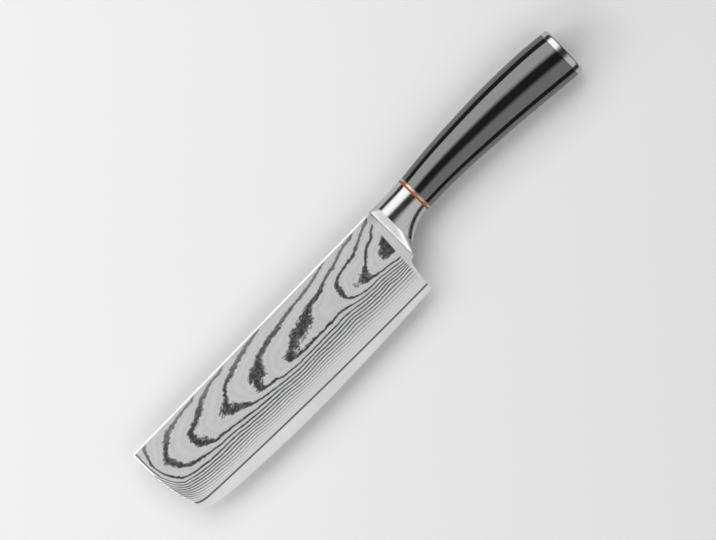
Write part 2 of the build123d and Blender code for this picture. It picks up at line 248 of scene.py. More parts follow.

# %% [markdown]
# The layered pattern
# The cladding is forged from many thin layers. Where the forged bumps are ground flat, the
# layers come out as nested loops, open towards the handle, and along the bevel, which cuts them
# at a slant, as fine lines. The pattern can be seen as a hill: every line is one height of it.
# Some 400 points are laid on the lines, each with its layer's number, and a thin-plate
# spline draws the smoothest hill through them. That gives lines that never cross, as real
# layers never do.

# %% Points laid on the layer lines
# each row: layer number, where on its dark band (rims -1 and 1, middle 0), then distance from
# the tip and depth below the spine in tenths of a millimetre, point by point
HALF_BAND = 0.15
LAYER_LINES = [
    (0, -1, 51, 22, 36, 63, 24, 104),
    (0, 1, 80, 22, 55, 63, 41, 101),
    (0, 0, 30, 131, 35, 164, 49, 202, 68, 236, 86, 259, 109, 278, 135, 289, 180, 301, 247, 310,
     320, 316),
    (-1, 0, 13, 30, 12, 104, 16, 164, 23, 202, 38, 236, 60, 271, 86, 294, 113, 304, 146, 313),
    (-2, 0, 18, 217, 34, 254, 53, 281, 79, 306, 113, 319),
    (-4, 0, 15, 254, 34, 292, 56, 318, 83, 337, 120, 350, 165, 361),
    (-7, 0, 21, 310, 41, 342, 71, 369, 113, 390, 165, 404),
    (1, -1, 420, 15, 360, 20, 307, 25, 270, 30, 225, 33, 195, 44, 173, 55, 150, 73, 130, 97,
     110, 120, 91, 140, 80, 155, 92, 179, 110, 212, 135, 237, 161, 256, 188, 267, 225, 275,
     270, 280),
    (1, 1, 360, 33, 307, 41, 270, 51, 232, 59, 210, 70, 195, 81, 173, 101, 150, 116, 135, 129,
     128, 146, 130, 165, 143, 187, 149, 206, 158, 224, 176, 237, 195, 245, 216, 254, 270, 269),
    (1, 0, 330, 286, 397, 294, 480, 301),
    (2, -1, 635, 15, 570, 21, 510, 30, 472, 40, 446, 50, 425, 63, 401, 73, 379, 87, 352, 101,
     320, 113, 296, 121, 274, 136, 262, 153, 258, 176, 264, 202, 280, 226, 304, 242, 326, 254,
     352, 266, 382, 271, 435, 274, 480, 280),
    (2, 1, 570, 34, 529, 43, 505, 56, 472, 69, 452, 82, 427, 99, 405, 116, 382, 119, 360, 129,
     337, 136, 315, 143, 303, 153, 299, 170, 311, 185, 326, 196, 343, 209, 352, 232, 363, 250,
     382, 255, 412, 256, 457, 265),
    (2, 0, 635, 300),
    (3, -1, 607, 79, 583, 91, 570, 104, 555, 119, 540, 134, 520, 150, 491, 164, 468, 186,
     487, 207, 510, 224, 532, 236, 557, 244, 585, 251, 607, 263, 635, 68, 669, 54, 704, 45,
     752, 31, 793, 22, 845, 15, 646, 274),
    (3, 1, 610, 99, 599, 106, 585, 123, 570, 143, 556, 157, 552, 166, 558, 181, 573, 191,
     585, 203, 599, 214, 615, 224, 624, 239, 639, 91, 673, 87, 704, 72, 730, 65, 793, 49, 845, 34,
     905, 23, 639, 256, 680, 271),
    (3, 0, 714, 284, 793, 297),
    (4, -1, 1233, 40, 1160, 50, 1070, 54, 1002, 62, 950, 70, 909, 78, 868, 88, 830, 99, 808, 106,
     785, 118, 752, 126, 720, 144, 695, 159, 702, 187, 708, 209, 699, 228, 693, 244, 710, 252,
     748, 260, 793, 269, 830, 279, 868, 286),
    (4, 1, 1233, 57, 1160, 61, 1070, 76, 1002, 94, 950, 99, 909, 108, 868, 118, 845, 124,
     832, 140, 817, 157, 808, 179, 795, 202, 770, 211, 748, 218, 742, 232, 752, 247, 785, 252,
     811, 256, 830, 268, 860, 278),
    (4, 0, 924, 289, 995, 291, 1160, 291, 1395, 15),
    (5, -1, 1233, 101, 1186, 106, 1160, 111, 1134, 118, 1107, 126, 1070, 141, 1029, 145,
     1006, 168, 980, 186, 958, 195, 935, 203, 919, 217, 916, 232, 926, 251, 950, 260, 980, 266,
     1029, 270, 1070, 269, 1107, 269, 1160, 269, 1233, 269, 1317, 88, 1354, 73, 1410, 57,
     1459, 45, 1497, 33, 1540, 21, 1580, 18),
    (5, 1, 1202, 139, 1184, 153, 1173, 174, 1156, 191, 1134, 198, 1107, 206, 1077, 213, 1044, 218,
     1014, 222, 1006, 237, 1019, 251, 1051, 254, 1081, 251, 1107, 251, 1145, 255, 1197, 254,
     1354, 90, 1392, 80, 1437, 76, 1478, 60, 1515, 45, 1557, 33, 1609, 30, 1212, 251, 1272, 250,
     1317, 255),
    (5, 0, 1347, 269, 1384, 280, 1422, 288, 1478, 294),
    (6, -1, 1710, 19, 1680, 29, 1647, 45, 1609, 61, 1580, 75, 1549, 89, 1515, 95, 1474, 101,
     1437, 108, 1403, 118, 1381, 129, 1364, 146, 1357, 168, 1355, 191, 1354, 213, 1362, 228,
     1373, 241, 1388, 252, 1407, 263, 1437, 272, 1474, 280, 1519, 284),
    (6, 1, 1726, 34, 1699, 41, 1677, 49, 1647, 63, 1617, 78, 1594, 91, 1557, 105, 1515, 110,
     1478, 115, 1437, 121, 1409, 134, 1396, 149, 1394, 172, 1388, 191, 1380, 209, 1384, 228,
     1399, 246, 1422, 257, 1444, 266, 1474, 270, 1497, 275, 1534, 276),
    (7, -1, 1738, 52, 1703, 69, 1680, 95, 1647, 106, 1620, 116, 1594, 142, 1572, 163, 1549, 176,
     1527, 187, 1497, 200, 1471, 209, 1440, 214, 1459, 229, 1482, 240, 1497, 251, 1527, 256,
     1549, 259, 1570, 263, 1609, 270),
    (7, 1, 1744, 65, 1714, 82, 1695, 104, 1658, 118, 1628, 133, 1603, 155, 1581, 173, 1564, 191,
     1552, 209, 1550, 228, 1557, 242, 1569, 251, 1590, 255, 1628, 261),
    (7, 0, 1665, 271),
    (8, -1, 1735, 128, 1710, 141, 1691, 154, 1683, 172, 1669, 182, 1650, 184, 1642, 196,
     1641, 213, 1647, 228, 1663, 236, 1691, 240, 1723, 244),
    (8, 0, 1684, 211, 1710, 168, 1731, 153, 1731, 194, 1727, 224, 1705, 224),
]
# fine lines of the bevel: distance from the tip, number of the first line, depths downwards
FINE_COLUMNS = [
    (270, 0, [314, 330, 346, 359, 372, 388, 404, 417]),
    (530, 0, [330, 345, 358, 372, 385, 400, 415]),
    (793, 2, [314, 330, 348, 363, 376, 391, 406, 419]),
    (1055, 3, [311, 327, 341, 358, 374, 388, 401, 415]),
    (1317, 4, [292, 311, 327, 343, 361, 379, 397, 413]),
    (1580, 6, [280, 299, 314, 328, 341, 362, 380, 398, 414]),
    (1714, 7, [282, 300, 314, 326, 336, 345, 363, 381, 399, 415]),
]
laid = [(x / 10, d / 10, layer + rim * HALF_BAND) for layer, rim, *row in LAYER_LINES
        for x, d in zip(row[::2], row[1::2])]
laid += [(x / 10, d / 10, top - k) for x, top, depths in FINE_COLUMNS
         for k, d in enumerate(depths)]
laid = np.array(laid)
print("points on the layer lines:", len(laid))


# %% A smooth hill through the points
def thin_plate(places, values, stiffness=0.0):
    """Weights of the thin-plate spline: sum of w r^2 log r over the places plus a plane, which
    takes the given value at each place. Stiffness lets it miss them a little and run smoother."""
    gap = np.linalg.norm(places[:, None] - places[None], axis=2)
    bend = gap**2 * np.log(np.maximum(gap, 1e-9)) + stiffness * np.eye(len(places))
    plane = np.column_stack([np.ones(len(places)), places])
    system = np.block([[bend, plane], [plane.T, np.zeros((3, 3))]])
    return np.linalg.solve(system, np.append(values, np.zeros(3)))


def hill_height(places, weights, x, depth):
    """Height of that spline at whole arrays of x and depth."""
    height = weights[-3] + weights[-2] * x + weights[-1] * depth
    for (px, pd), w in zip(places, weights):
        gap = np.maximum(np.hypot(x - px, depth - pd), 1e-9)
        height = height + w * gap**2 * np.log(gap)
    return height


layer_weights = thin_plate(laid[:, :2], laid[:, 2], stiffness=0.1)


def layer_number(x, depth):
    """Layer number at a place of the side. Whole numbers are the dark layers' middles."""
    return hill_height(laid[:, :2], layer_weights, x, depth)


numbers = layer_number(side_x, side_depth)
print("layers on the side: %.1f to %.1f" % (numbers.min(), numbers.max()))


# %% The two layered sides
WALL_LAYERS, FAR_ABOVE = 3, 9.0  # what the hidden walls and inner face carry


def layered_side(name, node, side, layers):
    """Closed shell over the cladding grid: its face at side times half the thickness, walls down
    to the core plane and one flat face there. Each point carries its layer number, whether it is
    etched, as all but the bright spine facet is, and how far above the dark core line it lies."""
    rows, columns = side_x.shape
    face = np.stack([side_x, -side_depth, side * side_z], -1).reshape(-1, 3)
    index = np.arange(rows * columns).reshape(rows, columns)
    rim = np.concatenate([index[-1:0:-1, 0], index[0, :-1], index[:, -1]])
    inner = len(face) + np.arange(len(rim) - 2)
    below = np.concatenate([rim[:1], inner, rim[-1:]])
    floor = face[rim[1:-1]] * [1, 1, 0] + [0, 0, side * HALF_CORE]
    quads = np.stack([index[:-1, :-1], index[1:, :-1], index[1:, 1:], index[:-1, 1:]], -1)
    walls = np.stack([rim[:-1], rim[1:], below[1:], below[:-1]], -1)
    wall_ends = [walls[0, :3].tolist(), walls[-1, [0, 1, 3]].tolist()]
    floor_face = np.concatenate([index[-1, ::-1], inner[::-1]])[::-1]
    faces = quads.reshape(-1, 4).tolist() + walls[1:-1].tolist() + wall_ends
    faces.append(floor_face.tolist())
    if side < 0:
        faces = [f[::-1] for f in faces]
    obj = put_in_scene(name, np.vstack([face, floor]), faces, smooth_angle=4.0)
    number = layers(side_x, side_depth).reshape(-1)
    is_etched = (side_depth > FACET_WIDTH + 0.01).reshape(-1)
    above_core = (etched_core_line(side_x) - side_depth).reshape(-1)
    carried = {
        "layer": np.append(number, number[rim[1:-1]] + WALL_LAYERS),
        "etched": np.append(is_etched, np.ones(len(inner))),
        "above_core": np.append(above_core, np.full(len(inner), FAR_ABOVE)),
    }
    for key, values in carried.items():
        attribute = obj.data.attributes.new(key, "FLOAT", "POINT")
        attribute.data.foreach_set("value", values.astype(np.float32))
    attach(obj, "root")
    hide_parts(node)
    print(name, "points:", len(face) + len(floor))
    return obj


def other_side_layers(x, depth):
    """The right side is another cut through the same layers: the hill is read a little further
    along and deeper, with a slow sway, so the two sides are kin and not copies."""
    sway = 2.2 * np.sin(x / 19.0) + 1.4 * np.sin(x / 7.3 + depth / 9.0)
    return layer_number(x * 0.9 + 9.0 + sway, depth * 1.03 - 0.6 * np.sin(x / 23.0)) + 0.35


left_side = layered_side("layered_side_left", "cladding_left", 1, layer_number)
right_side = layered_side("layered_side_right", "cladding_right", -1, other_side_layers)

# %% [markdown]
# The bolster
# The forged block between blade and grip is an oval whose lower half reaches down to the web.
# At the front it draws together, in a straight slope and a narrow rim, to a nearly square
# section that just covers the blade. A section is four Bezier quarters, whose handles make it
# oval or square, so the slope is nothing but straight lines from one section to the other.

# %% Sections of the bolster
OVAL_SHARE = 4 / 3 * (math.sqrt(2) - 1)


def underside(x):
    """Height of the underside: the arc over the chord from the web's foot to the rings, whose
    middle stands WEB_HOLLOW above the chord."""
    length = BOLSTER_END - BLADE_LENGTH
    rise = WEB_DEPTH - (RING_WIDTH - RING_CROWN)
    chord = math.hypot(length, rise)
    radius = (chord**2 / 4 + WEB_HOLLOW**2) / (2 * WEB_HOLLOW)
    centre_x = BLADE_LENGTH + length / 2 + (radius - WEB_HOLLOW) * rise / chord
    centre_y = -WEB_DEPTH + rise / 2 - (radius - WEB_HOLLOW) * length / chord
    return centre_y + np.sqrt(radius**2 - (x - centre_x) ** 2)


def quarter(side, reach, handle, nose, t):
    """Bezier quarter from the side (0, side) to the end (reach, 0): the first handle is as long
    as handle, the second as nose. Gives (distance from the middle, z) at t."""
    a, b, c, d = (1 - t) ** 3, 3 * t * (1 - t) ** 2, 3 * t**2 * (1 - t), t**3
    return b * handle + (c + d) * reach, (a + b) * side + c * nose


def section(x, side, upper, upper_handles, lower, lower_handle, lower_nose, steps=56):
    """Closed section at x: up the left side to the top, down the right side to the foot and
    back up."""
    t = np.linspace(0, 1, steps, endpoint=False)
    top = side, upper, upper_handles * upper, upper_handles * side
    foot = side, lower, lower_handle, lower_nose
    quarters = [(quarter(*top, t), 1, 1), (quarter(*top, 1 - t), 1, -1),
                (quarter(*foot, t), -1, -1), (quarter(*foot, 1 - t), -1, 1)]
    y = np.concatenate([up * far for (far, out), up, left in quarters])
    z = np.concatenate([left * out for (far, out), up, left in quarters])
    return np.stack([np.full_like(y, x), RING_Y + y, z], -1)


def rim_row(x, side):
    """Nearly square section: all handles are RIM_SHARE of their half width."""
    lower = RING_Y - underside(x)
    return section(x, side, -RING_Y, RIM_SHARE, lower, RIM_SHARE * lower, RIM_SHARE * side)


def full_row(x):
    """Oval that keeps its curve at the side: as the foot reaches lower, its nose grows sharper
    and the handle grows with the square root of what the nose gives up."""
    side, ring_half = RING_THICKNESS / 2, RING_WIDTH / 2
    lower = RING_Y - underside(x)
    growth = (lower - ring_half) / (WEB_DEPTH + RING_Y - ring_half)
    nose = OVAL_SHARE * side - growth * (OVAL_SHARE * side - WEB_NOSE)
    handle = OVAL_SHARE * ring_half * math.sqrt((side - nose) / (side - OVAL_SHARE * side))
    along_share = (x - BLADE_LENGTH) / (BOLSTER_END - BLADE_LENGTH)
    upper = -RING_Y + along_share**4 * RING_CROWN
    return section(x, side, upper, OVAL_SHARE, lower, handle, nose)


print("underside at web and rings, mm:", [round(float(underside(x)), 2)
                                          for x in (BLADE_LENGTH, BOLSTER_END)])

# %% The butt's line and the bore
AXIS_TILT = math.atan2(BUTT_DROP, GRIP_LENGTH)
AXIS = np.array([math.cos(AXIS_TILT), -math.sin(AXIS_TILT), 0.0])
ACROSS = np.array([math.sin(AXIS_TILT), math.cos(AXIS_TILT), 0.0])
BUTT_CENTRE = np.array([BUTT_X, RING_Y - BUTT_DROP, 0.0])


def off_line(wide, thick):
    """Steps away from the line that runs from rings to butt: wide is across it in the knife's
    plane, thick is out of that plane."""
    return wide[:, None] * ACROSS + thick[:, None] * [0, 0, 1]


def bore_row(x, t):
    """Points where the bore, a cylinder on that line, crosses the plane at x."""
    circle = BUTT_CENTRE + BORE * off_line(np.sin(t), np.cos(t))
    slide = (x - circle[:, 0]) / AXIS[0]
    return circle + slide[:, None] * AXIS


print("tilt of the butt's line, degrees:", round(math.degrees(AXIS_TILT), 2))

# %% Bolster from its sections
slope_end = BLADE_LENGTH + SLOPE_SHARE * (BOLSTER_END - BLADE_LENGTH)
rim, rim_end = rim_row(BLADE_LENGTH, RIM_Z), rim_row(BLADE_LENGTH + RIM_WIDTH, RIM_Z + RIM_WIDTH)
slope_foot = full_row(slope_end)
slope = [rim_end + s * (slope_foot - rim_end) for s in np.linspace(0, 1, 10, endpoint=False)]
body = [full_row(x) for x in np.linspace(slope_end, BOLSTER_END, 40)]
bolster_turn = np.arctan2(rim[:, 1] - RING_Y, rim[:, 2])
bored = [bore_row(x, bolster_turn) for x in (BOLSTER_END, TAB_END)]
bolster = closed_skin("bolster_block", np.stack([rim] + slope + body + bored), smooth_angle=14.0)
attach(bolster, "root")
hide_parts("bolster")

# %% [markdown]
# Spacer and ring
# Behind the bolster sit a thin red fibre spacer and a brass ring. Both are oval bands bored for
# the tang. A short profile (front edge, outside, rear edge, bore) is carried round the oval and
# closed into a ring. The brass has softly rounded edges that catch the light; the fibre's are
# much finer, and a thin line shows between the pieces.

# %% Oval bands
def oval_row(x, inside, t):
    """The rings' oval at x, drawn in by inside: y = half width sin t, z = half depth cos t."""
    y, z = RING_WIDTH / 2 - inside, RING_THICKNESS / 2 - inside
    return np.stack([np.full_like(t, x), RING_Y + y * np.sin(t), z * np.cos(t)], -1)


def oval_band(name, start, end, round_size, node):
    """Profile of (x, how far inside the oval) carried round the oval and back through the bore."""
    t = np.linspace(0, 2 * math.pi, 192, endpoint=False)
    turn = np.linspace(0, math.pi / 2, 6)
    front = [(start + round_size * (1 - math.cos(a)), round_size * (1 - math.sin(a)))
             for a in turn]
    rear = [(start + end - x, inside) for x, inside in front[::-1]]
    rows = [oval_row(x, inside, t) for x, inside in front + rear]
    rows += [bore_row(end, t), bore_row(start, t)]
    band = closed_skin(name, np.stack(rows), ring=True, smooth_angle=35.0)
    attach(band, "root")
    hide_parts(node)
    return band


fibre_band = oval_band("fibre_spacer_band", BOLSTER_END, SPACER_END, 0.08, "red_spacer")
brass_band = oval_band("brass_band", SPACER_END, GRIP_START, 0.3, "brass_ring")

# %% [markdown]
# The grip
# The grip swells from the rings to a broad butt, and its middle line bows gently upwards. Nine
# ovals along it carry the real measures, and a cubic spline through them gives a surface without
# any visible joint, which matters most on black gloss: every highlight shows a dent.

# %% Swelling and bow of the grip
# each station: share of the length, share of the arch, share of the growth from ring to butt
GRIP_STATIONS = np.array([
    (0, 0, 0), (0.125, 0.52, 0.15), (0.25, 0.82, 0.31), (0.375, 0.95, 0.48), (0.5, 1, 0.65),
    (0.625, 0.93, 0.79), (0.75, 0.74, 0.9), (0.875, 0.44, 0.99), (1, 0, 0.97),
])


def cubic_through(places, values, at):
    """Cubic spline through the values with no bend at its ends: each stretch is a cubic whose
    slopes agree with its neighbours', found from one set of linear equations."""
    n, h = len(places), np.diff(places)
    rise = np.diff(values) / h
    system, target = np.eye(n), np.zeros(n)
    for k in range(1, n - 1):
        system[k, k - 1:k + 2] = [h[k - 1], 2 * (h[k - 1] + h[k]), h[k]]
        target[k] = 6 * (rise[k] - rise[k - 1])
    bend = np.linalg.solve(system, target)
    k = np.clip(np.searchsorted(places, at, side="right") - 1, 0, n - 2)
    left, right = places[k + 1] - at, at - places[k]
    cubic = (bend[k] * left**3 + bend[k + 1] * right**3) / (6 * h[k])
    slope_left = values[k] / h[k] - bend[k] * h[k] / 6
    slope_right = values[k + 1] / h[k] - bend[k + 1] * h[k] / 6
    return cubic + slope_left * left + slope_right * right


print("stations of the grip:", len(GRIP_STATIONS))

# %% Ovals along the grip
OVAL_POINTS, GRIP_ROWS, ROUND_ROWS, END_ROUND = 224, 150, 5, 0.25
TURN_START = 0.875  # share of the length behind which the ovals turn


def grip_grid():
    """Rows of ovals along the grip. Each lies across the knife at the front and turns by the
    butt's tilt over the last stretch. A small round eases both ends, then the rows run down the
    rear face into the pocket, along it and back through the bore."""
    t = np.linspace(0, 2 * math.pi, OVAL_POINTS, endpoint=False)
    turn = np.linspace(0, math.pi / 2, ROUND_ROWS + 1)[:-1]
    eased, round_share = END_ROUND * (1 - np.sin(turn)), END_ROUND / GRIP_LENGTH
    start = round_share * (1 - np.cos(turn))
    share = np.concatenate([start, np.linspace(round_share, 1 - round_share, GRIP_ROWS),
                            (1 - start)[::-1]])
    inset = np.concatenate([eased, np.zeros(GRIP_ROWS), eased[::-1]])
    arch, growth = (cubic_through(GRIP_STATIONS[:, 0], GRIP_STATIONS[:, k], share) for k in (1, 2))
    half_width = (RING_WIDTH + growth * (GRIP_WIDTH - RING_WIDTH)) / 2 - inset
    half_thickness = (RING_THICKNESS + growth * (GRIP_THICKNESS - RING_THICKNESS)) / 2 - inset
    middle_y = RING_Y - share * BUTT_DROP + arch * GRIP_ARCH
    lean = AXIS_TILT * np.clip((share - TURN_START) / (1 - TURN_START), 0, 1)
    wide = half_width[:, None] * np.sin(t)
    x = GRIP_START + share[:, None] * GRIP_LENGTH + wide * np.sin(lean)[:, None]
    y = middle_y[:, None] + wide * np.cos(lean)[:, None]
    body = np.stack([x, y, half_thickness[:, None] * np.cos(t)], -1)
    circle = off_line(np.sin(t), np.cos(t))
    floor = BUTT_CENTRE - POCKET_DEPTH * AXIS
    inside = [BUTT_CENTRE + POCKET * circle, floor + POCKET * circle, floor + BORE * circle,
              bore_row(GRIP_START, t)]
    butt = -ROUND_ROWS - 1
    return np.concatenate([body, np.stack(inside)]), half_width[butt], half_thickness[butt]


grip_points, butt_half_width, butt_half_thickness = grip_grid()
grip = closed_skin("grip_body", grip_points, ring=True, smooth_angle=35.0)
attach(grip, "root")
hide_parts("grip")

# %% [markdown]
# The butt cap
# A steel cap closes the grip. It tapers by two degrees, and its outer edge is rounded. Its boss
# plugs the pocket over the nut. One profile (distance along the butt's line, distance inside the
# oval) goes round the oval; moving in along the oval's own normal keeps the round even.

# %% Cap from one profile
CAP_EASE = 0.12  # broken edge where the cap meets the grip


def cap_row(along_axis, inward, t):
    """Row at a distance along the butt's line: each point of the oval a sin t, b cos t moves in
    along the oval's normal, (b sin t, a cos t) made one long."""
    a, b = butt_half_width, butt_half_thickness
    normal = np.stack([b * np.sin(t), a * np.cos(t)])
    normal = normal / np.linalg.norm(normal, axis=0)
    wide, thick = a * np.sin(t) - inward * normal[0], b * np.cos(t) - inward * normal[1]
    return BUTT_CENTRE + along_axis * AXIS + off_line(wide, thick)


def cap_grid():
    """Boss, its wall, the joint face, the tapered side, the round and the flat end."""
    t = np.linspace(0, 2 * math.pi, OVAL_POINTS, endpoint=False)
    circle = off_line(np.sin(t), np.cos(t))
    boss = [BUTT_CENTRE - BOSS_LENGTH * AXIS + BOSS * circle, BUTT_CENTRE + BOSS * circle]
    slope, tapered = math.tan(math.radians(CAP_TAPER)), CAP_LENGTH - CAP_ROUND
    inset = tapered * slope
    side = [(0.0, CAP_EASE), (CAP_EASE * 0.3, CAP_EASE * 0.3), (CAP_EASE, 0.0)]
    side += [(s, s * slope) for s in np.linspace(0.3, tapered, 8)]
    side += [(tapered + CAP_ROUND * math.sin(a), inset + CAP_ROUND * (1 - math.cos(a)))
             for a in np.linspace(0, math.pi / 2, 12)[1:]]
    side += [(CAP_LENGTH, inset + CAP_ROUND + more) for more in (0.6, 2.0, 4.0)]
    return np.stack(boss + [cap_row(s, inward, t) for s, inward in side])


cap = closed_skin("butt_cap", cap_grid(), smooth_angle=30.0)
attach(cap, "root")
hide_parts("end_cap")


# %% [markdown]
# Tools for the finishes
# Several finishes share the same marks: fine lines left by grinding or polishing, and the
# faint clouds and specks of handling. Each is a shader node group, made once and placed in a
# material with its own values. A group gives out only values; the shaders stay in the
# material.

# %% Small helpers for nodes
def new_group(name, inputs, outputs):
    """Node group with float inputs (name, default) and float outputs, and its two end nodes."""
    group = bpy.data.node_groups.new(name, "ShaderNodeTree")
    for label, default in inputs:
        socket = group.interface.new_socket(label, in_out="INPUT", socket_type="NodeSocketFloat")
        socket.default_value = default
    for label in outputs:
        group.interface.new_socket(label, in_out="OUTPUT", socket_type="NodeSocketFloat")
    return group, group.nodes.new("NodeGroupInput"), group.nodes.new("NodeGroupOutput")


def plug(tree, source, target):
    """Links a socket to a socket, or sets the target to a plain number or colour."""
    if isinstance(source, bpy.types.NodeSocket):
        tree.links.new(source, target)
    else:
        target.default_value = source


def fill(tree, node, **values):
    """Plugs each value into the node's input of that name, with _ read as a space."""
    for label, value in values.items():
        plug(tree, value, node.inputs[label.replace("_", " ")])


def sum_up(tree, operation, *values, clamp=False):
    """A Math node over sockets or numbers; gives its result."""
    node = tree.nodes.new("ShaderNodeMath")
    node.operation, node.use_clamp = operation, clamp
    for value, socket in zip(values, node.inputs):
        plug(tree, value, socket)
    return node.outputs[0]


def product(tree, first, *others):
    """All the values multiplied."""
    for value in others:
        first = sum_up(tree, "MULTIPLY", first, value)
    return first


def plus_shares(tree, base, *parts):
    """Base plus value times share, for each part (value, share)."""
    for value, share in parts:
        base = sum_up(tree, "ADD", base, product(tree, value, share))
    return base


def ramp_between(tree, value, low, high, to_low=0.0, to_high=1.0):
    """Eases value from low..high to to_low..to_high, held at the ends."""
    node = tree.nodes.new("ShaderNodeMapRange")
    node.interpolation_type = "SMOOTHSTEP"
    fill(tree, node, Value=value, From_Min=low, From_Max=high, To_Min=to_low, To_Max=to_high)
    return node.outputs[0]


def object_axes(tree):
    """The three Object coordinates as separate values."""
    place = tree.nodes.new("ShaderNodeTexCoord")
    split = tree.nodes.new("ShaderNodeSeparateXYZ")
    tree.links.new(place.outputs["Object"], split.inputs[0])
    return split.outputs


def noise_at(tree, scale, stretch=(1, 1, 1), detail=3.0, roughness=0.6, shift=(0, 0, 0)):
    """Noise on Object coordinates; stretch multiplies the frequency along x, y and z."""
    place = tree.nodes.new("ShaderNodeTexCoord")
    mapping = tree.nodes.new("ShaderNodeMapping")
    fill(tree, mapping, Vector=place.outputs["Object"], Scale=stretch, Location=shift)
    noise = tree.nodes.new("ShaderNodeTexNoise")
    fill(tree, noise, Vector=mapping.outputs["Vector"], Scale=scale, Detail=detail,
         Roughness=roughness)
    return noise.outputs["Fac"]


def grey(level):
    """Colour of bare steel: grey with a trace of blue."""
    return (level, level, level + 0.005, 1)


def mixed(tree, share, first, second):
    """Colour mix from first to second by share."""
    node = tree.nodes.new("ShaderNodeMix")
    node.data_type = "RGBA"
    for given, socket in zip((share, first, second), (0, 6, 7)):
        plug(tree, given, node.inputs[socket])
    return node.outputs[2]


print("bare steel at level 0.78:", grey(0.78))

# %% Group: fine lines along the knife
lines_group, g_in, g_out = new_group("fine_lines", [("Density", 900.0), ("Stretch", 0.02)],
                                     ["Lines", "Broad"])
x, y, z = object_axes(lines_group)
joined = lines_group.nodes.new("ShaderNodeCombineXYZ")
fill(lines_group, joined, X=product(lines_group, x, g_in.outputs["Stretch"]), Y=y, Z=z)
for label, share, detail in (("Lines", 1.0, 2.0), ("Broad", 0.18, 3.0)):
    noise = lines_group.nodes.new("ShaderNodeTexNoise")
    fill(lines_group, noise, Vector=joined.outputs[0], Detail=detail,
         Scale=product(lines_group, g_in.outputs["Density"], share))
    lines_group.links.new(noise.outputs["Fac"], g_out.inputs[label])
print("group of fine lines:", len(lines_group.nodes), "nodes")

# %% Group: clouds and specks of handling
handled_group, g_in, g_out = new_group("handling", [("Cloud Size", 60.0), ("Speck Size", 2600.0)],
                                       ["Clouds", "Specks"])
clouds = noise_at(handled_group, g_in.outputs["Cloud Size"], (1, 1.4, 1), 4.0, 0.55)
grit = noise_at(handled_group, g_in.outputs["Speck Size"], (1, 1, 1), 1.0, 0.5)
fill(handled_group, g_out, Clouds=ramp_between(handled_group, clouds, 0.35, 0.7),
     Specks=ramp_between(handled_group, grit, 0.66, 0.74))
print("shared groups:", [g.name for g in bpy.data.node_groups])


# %% Helpers for whole finishes
def place_group(tree, group, **values):
    """Puts a shared group into a material's tree with its own values; gives its outputs."""
    node = tree.nodes.new("ShaderNodeGroup")
    node.node_tree = group
    fill(tree, node, **values)
    return node.outputs


def new_finish(name, metallic=0.0, **plain):
    """Material with one Principled shader whose uniform values are set on its own sockets."""
    material = bpy.data.materials.new(name)
    material.use_nodes = True
    shader = material.node_tree.nodes["Principled BSDF"]
    fill(material.node_tree, shader, Metallic=metallic, **plain)
    return material, material.node_tree, shader


def surface(tree, shader, colour, rough, height, depth):
    """Gives the shader its colour, its roughness and a bump from a height value; depth is the
    real height of one unit, in metres."""
    bump = tree.nodes.new("ShaderNodeBump")
    fill(tree, bump, Height=height, Distance=depth, Strength=1.0)
    fill(tree, shader, Base_Color=colour, Roughness=rough, Normal=bump.outputs["Normal"])


def lined_metal(name, lines_at, clouds_at, dull, bright, base, shares, depth, tint="Lines"):
    """Metal that keeps the marks of its making. lines_at is (density, stretch) and clouds_at is
    (cloud size, speck size); the tint mark mixes dull to bright; roughness is base plus each
    mark's share; the lines stand depth metres high. Gives the material, its tree and shader,
    and the roughness."""
    material, tree, shader = new_finish(name, 1.0)
    lines = place_group(tree, lines_group, Density=lines_at[0], Stretch=lines_at[1])
    cloudy = place_group(tree, handled_group, Cloud_Size=clouds_at[0], Speck_Size=clouds_at[1])
    marks = {**dict(lines.items()), **dict(cloudy.items())}
    rough = plus_shares(tree, base, *((marks[mark], share) for mark, share in shares.items()))
    surface(tree, shader, mixed(tree, marks[tint], dull, bright), rough, marks["Lines"], depth)
    return material, tree, shader, rough


def dress(material, *objects):
    """Puts the material in every slot of the objects, or gives them one."""
    for obj in objects:
        if not obj.data.materials:
            obj.data.materials.append(material)
        for slot in obj.material_slots:
            slot.material = material
    print(material.name, "dresses", ", ".join(obj.name for obj in objects))


def knife_measures(tree):
    """Distance from the tip and depth below the spine, in mm: the Object coordinates with the
    step into the frame taken back."""
    x, y, z = object_axes(tree)
    return (plus_shares(tree, float(-STEP[0]), (x, 1 / MM)),
            plus_shares(tree, float(STEP[1]), (y, -1 / MM)))


# %% [markdown]
# Layered steel
# Etching darkens one kind of layer and leaves the other bright. The layer number on each point
# says where its layer lies: near a whole number the steel is dark. Noise shifts the number a
# little before that test, so the edges are ragged as they are in forged steel, and the same
# shift counts for less in millimetres where the lines lie close. The lines fade out
# towards the core line, and the pattern stops just before the bolster. A painted shadow darkens
# the steel in the corner that it makes with the bolster.

# %% Where the layers are dark
DARK_LAYER = (0.058, 0.059, 0.062, 1)
SWAY, TEAR = 0.1, 0.56  # how far the two noises shift the layer number
FINE_BAND, FINE_START, FINE_END = 0.21, 26.0, 32.0
FADE_START, FADE_END = 33.5, 45.5  # depths between which the lines fade out
SPINE_REACH, SPINE_SHARE = 12.0, 0.72  # the bands are weaker close to the spine
PATTERN_END, END_EASE, END_LEAN = 174.4, 0.5, 0.075
# the last two are how dark the painted shadow is in the corner at the bolster
FAINT, CORE_EDGE, PAINTED_JOINT_SHADOW, PAINTED_CORNER_SHADE = 0.08, 0.85, 0.2, 0.42  # shades of the lesser marks
layered, tree, shader = new_finish("layered_steel_etched", 1.0)


def carried_value(tree, name):
    """Reads a number that the mesh carries on its points."""
    node = tree.nodes.new("ShaderNodeAttribute")
    node.attribute_name = name
    return node.outputs["Fac"]


